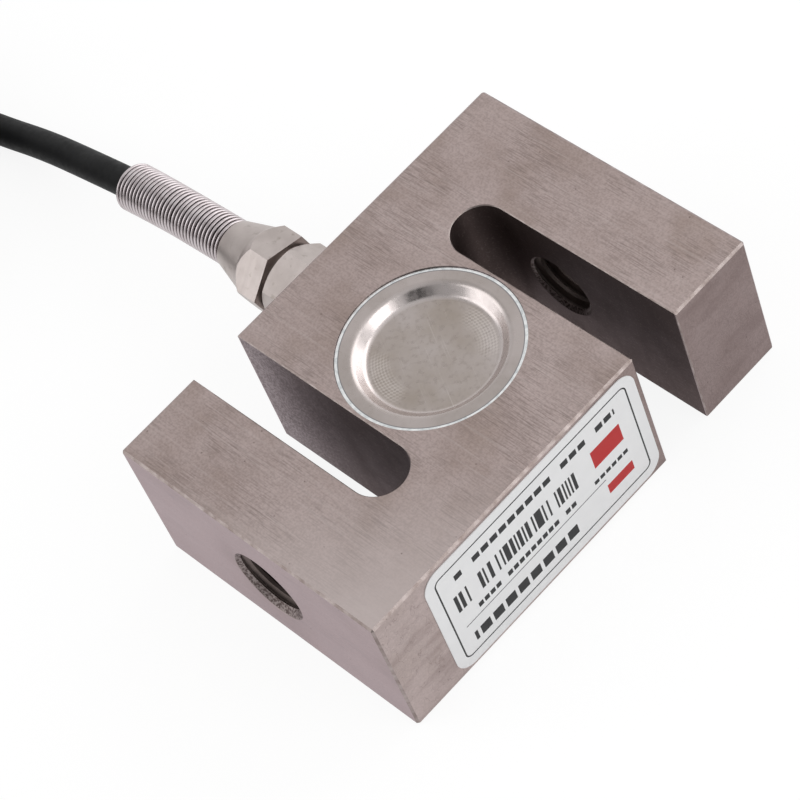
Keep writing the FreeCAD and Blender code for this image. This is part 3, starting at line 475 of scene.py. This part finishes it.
# The threaded holes run along Y at mid height, through both arms.
off_axis = calculate(tree, "SUBTRACT", z, beam_height / 2)
from_hole = calculate(tree, "SQRT", calculate(
    tree, "ADD", product(tree, x, x), product(tree, off_axis, off_axis)))
in_arm = calculate(tree, "GREATER_THAN", calculate(tree, "ABSOLUTE", y), slot_middle)
below_ends = calculate(tree, "SUBTRACT", beam_half_length, calculate(tree, "ABSOLUTE", y))
below_slot = calculate(tree, "SUBTRACT", away_from_slot, slot_half_width)
below_both = calculate(tree, "MINIMUM", below_ends, below_slot)
near_axis = calculate(tree, "LESS_THAN", from_hole, outer_mouth + 2 * skin)
in_hole = product(tree, in_arm, near_axis, calculate(tree, "GREATER_THAN", below_both, skin))
# A countersink is a cone of 45 degrees: radius plus depth is its mouth's radius all along it.
in_thread = in_hole
for depth, mouth in ((below_ends, outer_mouth), (below_slot, inner_mouth)):
    past_cone = calculate(tree, "GREATER_THAN", calculate(tree, "ADD", from_hole, depth),
                          mouth + skin)
    in_thread = product(tree, in_thread, past_cone)
# The countersinks and the threads are painted dark: painted shade inside the holes.
countersink_shade = blend(tree, spread(tree, speckle, 0.42, 0.58),
                    (0.13, 0.10, 0.095), (0.34, 0.29, 0.28))
plated = blend(tree, in_hole, plated, countersink_shade)
thread_shade = blend(tree, grain(tree, 0.0016, place=4.0),
                      (0.13, 0.10, 0.09), (0.27, 0.225, 0.21))
plated = blend(tree, in_thread, plated, thread_shade)
tree.links.new(plated, shader.inputs["Base Color"])

dull = calculate(tree, "ADD", slot_wall, in_hole)
satin = calculate(tree, "ADD", spread(tree, grinding, 0.3, 0.7, 0.35, 0.44),
                  spread(tree, blotches, 0.3, 0.7, -0.03, 0.05))
satin = calculate(tree, "ADD", satin, product(tree, dull, 0.16))
tree.links.new(satin, shader.inputs["Roughness"])
relief = calculate(tree, "SUBTRACT", product(tree, grinding, 0.2), pits)
raise_surface(tree, shader, relief, 0.00002)

thread_pitch = 0.00175
thread_major = 0.0060
thread_inside = 0.0048
crest_half_width = 0.00011
root_half_width = 0.00080
thread_turn_steps = 48
sharp_from = 28.0


def outward(mesh):
    """Turn a closed mesh's faces outwards."""
    edit = bmesh.new()
    edit.from_mesh(mesh)
    bmesh.ops.recalc_face_normals(edit, faces=edit.faces)
    edit.to_mesh(mesh)
    edit.free()


def thread_cutter(low, high):
    """A screw thread as a solid ridge: at turn t it stands at y = low + pitch * t, and its
    section is a trapezium from the inner radius out to the major radius."""
    turns = (high - low) / thread_pitch
    count = int(turns * thread_turn_steps) + 1
    t = np.linspace(0, turns, count)
    radius = np.array([thread_inside, thread_inside, thread_major, thread_major])
    offset = np.array([-root_half_width, root_half_width, crest_half_width, -crest_half_width])
    angle = 2 * math.pi * t[:, None]
    points = np.stack([
        radius * np.cos(angle), low + thread_pitch * t[:, None] + offset,
        beam_height / 2 + radius * np.sin(angle),
    ], axis=2)
    last = 4 * (count - 1)
    faces = grid_faces(count, 4, close_columns=True)
    faces += [[0, 1, 2, 3], [last + 3, last + 2, last + 1, last]]
    data = bpy.data.meshes.new("thread")
    data.from_pydata(points.reshape(-1, 3).tolist(), [], faces)
    outward(data)
    cutter = bpy.data.objects.new("thread", data)
    collection.objects.link(cutter)
    return cutter


def merged_copy(node, name):
    """A solid's mesh with its loose triangles joined at their corners."""
    mesh = nodes[node].data.copy()
    for attribute in ("custom_normal", "sharp_edge"):
        if attribute in mesh.attributes:
            mesh.attributes.remove(mesh.attributes[attribute])
    edit = bmesh.new()
    edit.from_mesh(mesh)
    bmesh.ops.remove_doubles(edit, verts=edit.verts, dist=1e-7)
    edit.to_mesh(mesh)
    edit.free()
    mesh.materials.clear()
    piece = bpy.data.objects.new(name, mesh)
    collection.objects.link(piece)
    return piece


beam = merged_copy("load_beam", "beam")
beam.data.materials.append(nickel_finish)
thread_low = slot_middle + slot_half_width - thread_pitch
thread_high = beam_half_length + thread_pitch
cutters = [thread_cutter(thread_low, thread_high), thread_cutter(-thread_high, -thread_low)]
for cutter in cutters:
    tap = beam.modifiers.new("tap", "BOOLEAN")
    tap.operation = "DIFFERENCE"
    tap.solver = "EXACT"
    tap.object = cutter
tapped = final_mesh(beam)
beam.modifiers.clear()
for cutter in cutters:
    bpy.data.objects.remove(cutter)
beam.data = tapped
beam.data.name = "beam"
beam.data.shade_smooth()
beam.data.set_sharp_from_angle(angle=math.radians(sharp_from))
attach(beam, "root")
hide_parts("load_beam")

# ------------------------------------------------------------------------------------------
# The covers: discs pressed from thin stainless sheet, a flat flange round a shallow dish.
# Each lies in a seat over the gauge pocket, its edge run round with clear adhesive; a bright
# ring on the cover's rim is a painted highlight.

# Radii at which one part of the pressing starts to give way to the next, and has done so.
wall_foot = 0.0094, 0.0099
wall_top = 0.0110, 0.0117
# The dark gap and the dark seat edge are painted shade; the glue line is a painted highlight.
gap_shade = 0.01328, 0.01338
glue_highlight_line = 0.01343, 0.01350
seat_edge_shade = 0.01387, 0.01393

cover_finish, tree, shader = blank_finish("cover_steel", (0.45, 0.4, 0.38), Metallic=1.0)
x, y, z = position(tree)
radius = calculate(tree, "SQRT", calculate(tree, "ADD", product(tree, x, x), product(tree, y, y)))
satin = grain(tree, 0.0009, detail=3.0)
haze = grain(tree, 0.0075, detail=4.0, place=2.0)
hairlines = grain(tree, (0.0100, 0.00016, 0.0100), detail=1.0, place=4.0, turn=-0.5)
floor_colour = blend(tree, spread(tree, haze, 0.32, 0.66), (0.40, 0.345, 0.305),
                     (0.51, 0.455, 0.435))
floor_colour = blend(tree, spread(tree, hairlines, 0.66, 0.78, 0.0, 0.3), floor_colour,
                     (0.75, 0.69, 0.66))
floor_colour = blend(tree, spread(tree, satin, 0.35, 0.5, 0.25, 0.0), floor_colour,
                     (0.26, 0.22, 0.2))

# The press pad leaves rows of small dents at two opposite places near the wall.
dent_way = 0.42, 0.91
ahead = calculate(tree, "ADD", product(tree, x, dent_way[0]), product(tree, y, dent_way[1]))
aside = calculate(tree, "SUBTRACT", product(tree, x, dent_way[1]), product(tree, y, dent_way[0]))
dent_rows = calculate(tree, "ADD", calculate(tree, "PINGPONG", radius, 0.00022),
                      calculate(tree, "PINGPONG", aside, 0.00026))
sector = spread(tree, calculate(tree, "DIVIDE", calculate(tree, "ABSOLUTE", ahead), radius),
                0.80, 0.93)
near_wall = product(tree, spread(tree, radius, 0.0058, 0.0074),
                    spread(tree, radius, 0.0090, 0.0096, 1.0, 0.0))
dents = product(tree, spread(tree, dent_rows, 0.00016, 0.00030), sector, near_wall)
floor_colour = blend(tree, product(tree, dents, 0.45), floor_colour, (0.72, 0.66, 0.62))

flange_colour = blend(tree, satin, (0.40, 0.35, 0.325), (0.49, 0.44, 0.42))
flange_colour = blend(tree, spread(tree, haze, 0.45, 0.65, 0.0, 0.6), flange_colour,
                      (0.56, 0.50, 0.485))
# The glue ring is painted near white: a painted highlight on the clear glue.
glue_highlight_colour = blend(tree, spread(tree, satin, 0.35, 0.6), (0.68, 0.71, 0.72), (0.97, 0.98, 0.98))

# From the middle out: the floor, the wall, the flange, a dark gap, the glue and its own edge.
# The wall and the glue are painted highlights; the gap and the edge are painted shade.
pressed = floor_colour
for change, colour in (
    (wall_foot, (0.70, 0.635, 0.62)),
    (wall_top, flange_colour),
    (gap_shade, (0.25, 0.24, 0.25)),
    (glue_highlight_line, glue_highlight_colour),
    (seat_edge_shade, (0.22, 0.21, 0.21)),
):
    pressed = blend(tree, spread(tree, radius, *change), pressed, colour)
tree.links.new(pressed, shader.inputs["Base Color"])
bent = product(tree, spread(tree, radius, *wall_foot),
               spread(tree, radius, 0.0112, 0.0118, 1.0, 0.0))
gloss = calculate(tree, "SUBTRACT", spread(tree, satin, 0.3, 0.7, 0.26, 0.36),
                  product(tree, bent, 0.03))
tree.links.new(gloss, shader.inputs["Roughness"])
uneven = calculate(tree, "ADD", product(tree, satin, 0.25), dents)
raise_surface(tree, shader, uneven, 0.00002)
for side in ("front", "back"):
    dress_node(f"{side}_cover", cover_finish)

sealant_finish, tree, shader = blank_finish("sealant", (0.6, 0.61, 0.63), Roughness=0.35)
tree.links.new(blend(tree, grain(tree, 0.0011), (0.5, 0.51, 0.53), (0.7, 0.71, 0.73)),
               shader.inputs["Base Color"])
for side in ("front", "back"):
    dress_node(f"{side}_sealant", sealant_finish)

# ------------------------------------------------------------------------------------------
# The gauge pocket under the covers: foil gauges glued slantwise to the web on both sides, a
# small printed board where the leads end, two trimming resistors and the four leads.

gauge_finish, tree, shader = blank_finish("gauge_foil", (0.55, 0.3, 0.08), Roughness=0.35)
x, y, z = position(tree)
leg_width = 0.0001
legs = calculate(tree, "PINGPONG", calculate(tree, "ADD", x, y), 2 * leg_width)
foil = calculate(tree, "GREATER_THAN", legs, leg_width)
tree.links.new(blend(tree, foil, (0.5, 0.26, 0.07), (0.42, 0.4, 0.36)),
               shader.inputs["Base Color"])
raise_surface(tree, shader, foil, 0.00001)
for side in ("front", "back"):
    for hand in ("left", "right"):
        dress_node(f"{side}_gauge_{hand}", gauge_finish)

board_finish, tree, shader = blank_finish("board", (0.03, 0.2, 0.07), Roughness=0.4)
x, y, z = position(tree)
pad_pitch, pad_width = 0.0010, 0.0006
pads = calculate(tree, "LESS_THAN", calculate(tree, "PINGPONG", y, pad_pitch / 2), pad_width / 2)
weave = grain(tree, 0.0005)
lacquer = blend(tree, weave, (0.02, 0.16, 0.05), (0.04, 0.24, 0.09))
tree.links.new(blend(tree, pads, lacquer, (0.6, 0.42, 0.18)), shader.inputs["Base Color"])
raise_surface(tree, shader, pads, 0.00003)
dress_node("terminal_board", board_finish)

resistor_finish, tree, shader = blank_finish("resistor", (0.45, 0.55, 0.65), Roughness=0.3)
x, y, z = position(tree)
ring_pitch, ring_width = 0.0008, 0.00028
ring_gap = calculate(tree, "PINGPONG", calculate(tree, "ADD", x, ring_pitch / 4), ring_pitch / 2)
rings = calculate(tree, "LESS_THAN", ring_gap, ring_width / 2)
lacquer = blend(tree, grain(tree, 0.0011), (0.38, 0.48, 0.6), (0.5, 0.6, 0.7))
tree.links.new(blend(tree, rings, lacquer, (0.25, 0.08, 0.03)), shader.inputs["Base Color"])
for node in ("zero_resistor", "span_resistor"):
    dress_node(node, resistor_finish)

for colour, finish in insulation_finish.items():
    dress_node(f"inner_lead_{colour}", finish)

# ------------------------------------------------------------------------------------------
# The cable gland: a hexagon screwed into the beam on a rubber ring, and a clamping nut with a
# tapered nose. Both are turned from brass bar and nickel plated, and the nut squeezes a
# grommet round the jacket.

gland_finish, tree, shader = blank_finish("gland_metal", (0.62, 0.57, 0.53), Metallic=1.0)
turning = grain(tree, (0.00025, 0.0070, 0.0070), detail=2.0)
tarnish = grain(tree, 0.0030, detail=4.0)
bright = blend(tree, spread(tree, tarnish, 0.35, 0.65),
               (0.475, 0.42, 0.40), (0.555, 0.495, 0.475))
bright = blend(tree, spread(tree, turning, 0.3, 0.7, 0.12, 0.0), bright, (0.4, 0.35, 0.32))
stains = spread(tree, grain(tree, 0.0014, detail=5.0, place=6.0), 0.60, 0.70, 0.0, 0.4)
bright = blend(tree, stains, bright, (0.2, 0.17, 0.13))
tree.links.new(bright, shader.inputs["Base Color"])
tree.links.new(spread(tree, turning, 0.3, 0.7, 0.34, 0.44), shader.inputs["Roughness"])
raise_surface(tree, shader, turning, 0.000005)
for node in ("gland_body", "gland_nut", "gland_thrust_washer"):
    dress_node(node, gland_finish)

rubber_finish, tree, shader = blank_finish("seal_rubber", (0.03, 0.03, 0.03), Roughness=0.7)
dust = grain(tree, 0.0008)
tree.links.new(blend(tree, dust, (0.02, 0.02, 0.02), (0.05, 0.05, 0.05)),
               shader.inputs["Base Color"])
raise_surface(tree, shader, dust, 0.00002)
for node in ("gland_gasket", "gland_grommet"):
    dress_node(node, rubber_finish)

# ------------------------------------------------------------------------------------------
# The bend spring: bright steel wire, close wound on a mandrel, pushed over the nut's spigot.
# It bends with the cable and keeps it from kinking at the gland.

spring_finish, tree, shader = blank_finish("spring_steel", (0.6, 0.56, 0.56), Metallic=1.0)
drawn = grain(tree, 0.0015, detail=3.0)
steel = blend(tree, spread(tree, drawn, 0.3, 0.7), (0.55, 0.49, 0.50), (0.71, 0.65, 0.665))
hidden = add_node(tree, "Attribute", attribute_name="hidden_side").outputs["Fac"]
# The wire's side against the cable is painted dark: painted shade between wire and cable.
painted_shade = spread(tree, hidden, 0.12, 0.48)
tree.links.new(blend(tree, painted_shade, steel, (0.05, 0.035, 0.04)), shader.inputs["Base Color"])
tree.links.new(spread(tree, drawn, 0.3, 0.7, 0.24, 0.32), shader.inputs["Roughness"])
raise_surface(tree, shader, drawn, 0.000002)

nose_end = np.array([-0.0473, 0.00165, 0.0127])
spring_wire = 0.00060
spring_pitch = 0.000775
spring_turns = 31
spring_radius = 0.00354
end_flare = 0.00013
turn_steps = 56
wire_sides = 12
settle_length = 0.010


def spring_points():
    """A wire round a helix round the cable: at turn t the helix stands at the cable's line
    plus its radius times (cos a, sin a), with a = 2 pi t and one pitch along for each turn, and
    the wire's section is a circle across the helix. The first turns sit square on the nose and
    slide over to the cable's line within the settle length. The far half opens out a little,
    by the end flare at the last turn."""
    first = 40  # over the line's first points x only falls, so it tells the place along it
    begin = np.interp(nose_end[0], cable_line[:first][::-1, 0], cable_reach[:first][::-1])
    turn = np.linspace(0, spring_turns, int(spring_turns * turn_steps) + 1)
    along = spring_wire / 2 + spring_pitch * turn
    middle = np.stack([
        np.interp(begin + along, cable_reach, cable_line[:, k]) for k in range(3)
    ], axis=1)
    share = np.clip(along / settle_length, 0, 1)[:, None]
    start = np.array([np.interp(begin, cable_reach, cable_line[:, k]) for k in range(3)])
    middle += (nose_end - start) * (1 - share * share * (3 - 2 * share))
    heading = np.gradient(middle, axis=0)
    heading /= np.linalg.norm(heading, axis=1, keepdims=True)
    side = np.cross(heading, [0.0, 0.0, 1.0])
    side /= np.linalg.norm(side, axis=1, keepdims=True)
    above = np.cross(side, heading)
    angle = 2 * math.pi * turn[:, None]
    outward_way = np.cos(angle) * side + np.sin(angle) * above
    opened = end_flare * np.clip(turn / spring_turns * 2 - 1, 0, 1)[:, None]
    helix = middle + (spring_radius + opened) * outward_way
    wire_way = np.gradient(helix, axis=0)
    wire_way /= np.linalg.norm(wire_way, axis=1, keepdims=True)
    across = np.cross(wire_way, outward_way)
    round_wire = np.linspace(0, 2 * math.pi, wire_sides, endpoint=False)[None, :, None]
    return helix[:, None] + spring_wire / 2 * (
        np.cos(round_wire) * outward_way[:, None] + np.sin(round_wire) * across[:, None])


wire = spring_points()
wire_count = wire.shape[0] * wire_sides
wire_faces = grid_faces(*wire.shape[:2], close_columns=True)
wire_faces += [list(range(wire_sides)), list(range(wire_count - wire_sides, wire_count))]
spring = add_piece("bend_spring", wire, wire_faces, spring_finish)
# hidden_side is 0 on the wire's outside and 1 against the cable, darkened as painted shade.
section = np.linspace(0, 2 * math.pi, wire_sides, endpoint=False)
hidden_side = spring.data.attributes.new("hidden_side", "FLOAT", "POINT")
hidden_side.data.foreach_set("value", np.tile((1 - np.cos(section)) / 2, wire.shape[0]))
outward(spring.data)
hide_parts("strain_relief_spring")

on_cable = [nodes[name] for name in (
    "gland_gasket", "gland_body", "gland_grommet", "gland_thrust_washer", "gland_nut",
    "end_sleeve", "shield_wire")]
on_cable += [nodes[f"{part}_{colour}"] for part in ("core", "core_tip") for colour in insulation]

# ------------------------------------------------------------------------------------------
# The rating label: a strip of pale printed foil with round corners, glued to the end of the
# beam. Its print is plain: a thin frame, rows of blocks, a rule, a few bars and two red blocks.

label_middle_y = -0.00775
label_half = 0.02125, 0.0118
label_corner = 0.003
label_frame_inset = 0.0019
label_frame_line = 0.00013

label_finish, tree, shader = blank_finish("label_foil", (0.8, 0.8, 0.81), Specular_IOR_Level=0.2)
x, y, z = position(tree)
along = calculate(tree, "SUBTRACT", y, label_middle_y)
up = calculate(tree, "SUBTRACT", z, beam_height / 2)


def frame_distance(tree, along, up, half_length, half_height, corner):
    """Distance to a rectangle with round corners, less than 0 inside it."""
    beyond = [
        calculate(tree, "SUBTRACT", calculate(tree, "ABSOLUTE", value), half - corner)
        for value, half in ((along, half_length), (up, half_height))
    ]
    kept = [calculate(tree, "MAXIMUM", value, 0.0) for value in beyond]
    squares = [product(tree, value, value) for value in kept]
    outside = calculate(tree, "SQRT", calculate(tree, "ADD", *squares))
    inside = calculate(tree, "MINIMUM", calculate(tree, "MAXIMUM", *beyond), 0.0)
    return calculate(tree, "SUBTRACT", calculate(tree, "ADD", outside, inside), corner)


def strip(tree, along, up, middle, half_size):
    """1 inside a rectangle on the label, 0 outside."""
    hits = [
        calculate(tree, "COMPARE", value, centre, half)
        for value, centre, half in zip((along, up), middle, half_size)
    ]
    return product(tree, *hits)


def broken(tree, value, length, share):
    """1 or 0 by chance over steps of a length, 1 for that share of them."""
    step = calculate(tree, "FLOOR", calculate(tree, "DIVIDE", value, length))
    chance = add_node(tree, "TexWhiteNoise", {"W": step}, noise_dimensions="1D").outputs["Value"]
    return calculate(tree, "LESS_THAN", chance, share)


def blocks(tree, value, pitch, width):
    """1 in plain blocks of a width along a row, one to each pitch; one in eight is left out."""
    cell = calculate(tree, "DIVIDE", value, pitch)
    within = product(tree, calculate(tree, "FRACT", cell), pitch)
    return product(tree, broken(tree, value, pitch, 0.88),
                   calculate(tree, "LESS_THAN", within, width))


edge = frame_distance(tree, along, up, *label_half, label_corner)
ink = calculate(tree, "COMPARE", edge, -label_frame_inset, label_frame_line)
heading = blocks(tree, along, 0.0018, 0.0014)
title = blocks(tree, along, 0.0026, 0.0020)
notes = blocks(tree, along, 0.0012, 0.0009)
bars = broken(tree, along, 0.00032, 0.52)
rule = 1.0
# Each row of print: its middle and half size on the label, and its pattern.
for middle, half_size, pattern in (
    ((0.0, 0.0072), (0.0165, 0.0006), heading),
    ((-0.0030, 0.0020), (0.0100, 0.0019), bars),
    ((-0.0160, 0.0020), (0.0018, 0.0019), bars),
    ((-0.0060, -0.0072), (0.0108, 0.0010), title),
    ((0.0130, -0.0024), (0.0036, 0.0004), notes),
    ((-0.0045, -0.0022), (0.0105, 0.0005), notes),
    ((-0.0030, -0.0038), (0.0145, 0.00008), rule),
):
    printed = product(tree, strip(tree, along, up, middle, half_size), pattern)
    ink = calculate(tree, "MAXIMUM", ink, printed)
red_block = calculate(tree, "MAXIMUM", strip(tree, along, up, (0.0135, 0.0022), (0.0030, 0.0019)),
                      strip(tree, along, up, (0.0140, -0.0062), (0.0026, 0.0010)))
foil_noise = grain(tree, 0.0029, detail=4.0)
foil = blend(tree, foil_noise, (0.82, 0.82, 0.83), (0.90, 0.90, 0.905))
foil = blend(tree, ink, foil, (0.02, 0.02, 0.022))
foil = blend(tree, red_block, foil, (0.5, 0.02, 0.02))
tree.links.new(foil, shader.inputs["Base Color"])
tree.links.new(spread(tree, foil_noise, 0.3, 0.7, 0.28, 0.4), shader.inputs["Roughness"])
dress_node("rating_label", label_finish)

# ------------------------------------------------------------------------------------------
# The bench and the light: a plain white sheet that keeps the part's shadow, a pale room, and
# three soft lamps.

backdrop = bpy.data.materials.new("backdrop")
backdrop.use_nodes = True
tree = backdrop.node_tree
tree.nodes.clear()


def seen_plain(tree):
    """1 for what is seen directly, in metal or through glass, and 0 for light on surfaces."""
    path = add_node(tree, "LightPath").outputs
    seen = calculate(tree, "MAXIMUM", path["Is Camera Ray"], path["Is Glossy Ray"])
    return calculate(tree, "MAXIMUM", seen, path["Is Transmission Ray"])


sheet_glow = 0.85
sheet_brightness = 1.042
reflected_glow = 0.6
paper = add_node(tree, "BsdfDiffuse", {"Color": (0.92, 0.92, 0.92, 1.0)})
glow = add_node(tree, "Emission", {"Color": (1.0, 1.0, 1.0, 1.0), "Strength": sheet_brightness})
direct = add_node(tree, "LightPath").outputs["Is Camera Ray"]
share = product(tree, seen_plain(tree),
                spread(tree, direct, 0.0, 1.0, reflected_glow, sheet_glow))
mixed = add_node(tree, "MixShader", {0: share, 1: paper.outputs[0], 2: glow.outputs[0]})
add_node(tree, "OutputMaterial", {"Surface": mixed.outputs[0]})

bench_half = 3.0
bench_level = -0.00005
bench_corners = [(bench_half * side, bench_half * end, bench_level)
                 for side, end in ((-1, -1), (1, -1), (1, 1), (-1, 1))]
bench_data = bpy.data.meshes.new("bench")
bench_data.from_pydata(bench_corners, [], [(0, 1, 2, 3)])
bench_data.materials.append(backdrop)
bench = bpy.data.objects.new("bench", bench_data)
collection.objects.link(bench)

# room_light lights the surfaces. What metal and the camera see of the room is brighter far
# behind the beam than near by, with one dark spot.
room_light = 0.62
room_far = 0.84
room_near = 0.4
dark_spot = Vector((0.63, -0.55, 0.56)).normalized()
world = bpy.data.worlds.new("room")
world.use_nodes = True
bpy.context.scene.world = world
tree = world.node_tree
room = tree.nodes["Background"]
room.inputs["Color"].default_value = (1.0, 1.0, 1.0, 1.0)
sky = add_node(tree, "TexCoord").outputs["Generated"]
compass = add_node(tree, "SeparateXYZ", {0: sky})
seen_room = spread(tree, compass.outputs["Y"], -0.6, 0.35, room_near, room_far)
toward = add_node(tree, "VectorMath", {0: sky, 1: dark_spot}, operation="DOT_PRODUCT")
seen_room = product(tree, seen_room,
                    spread(tree, toward.outputs["Value"], 0.950, 0.978, 1.0, 0.06))
strength = add_node(tree, "Mix", {0: seen_plain(tree), 2: room_light, 3: seen_room})
tree.links.new(strength.outputs[0], room.inputs["Strength"])

# Each lamp: its name, its place, the side of its square and its power in watts.
for name, place, size, power in (
    ("lamp_far", (0.03, 0.86, 0.42), 0.85, 2.5),
    ("lamp_left", (-0.55, -0.64, 0.46), 0.80, 2.35),
    ("lamp_right", (0.74, 0.24, 0.50), 0.5, 1.2),
):
    lamp_data = bpy.data.lights.new(name, "AREA")
    lamp_data.size = size
    lamp_data.energy = power
    lamp = bpy.data.objects.new(name, lamp_data)
    lamp.location = place
    lamp.rotation_euler = (-Vector(place)).to_track_quat("-Z", "Y").to_euler()
    collection.objects.link(lamp)

bpy.context.scene.view_settings.view_transform = "Standard"
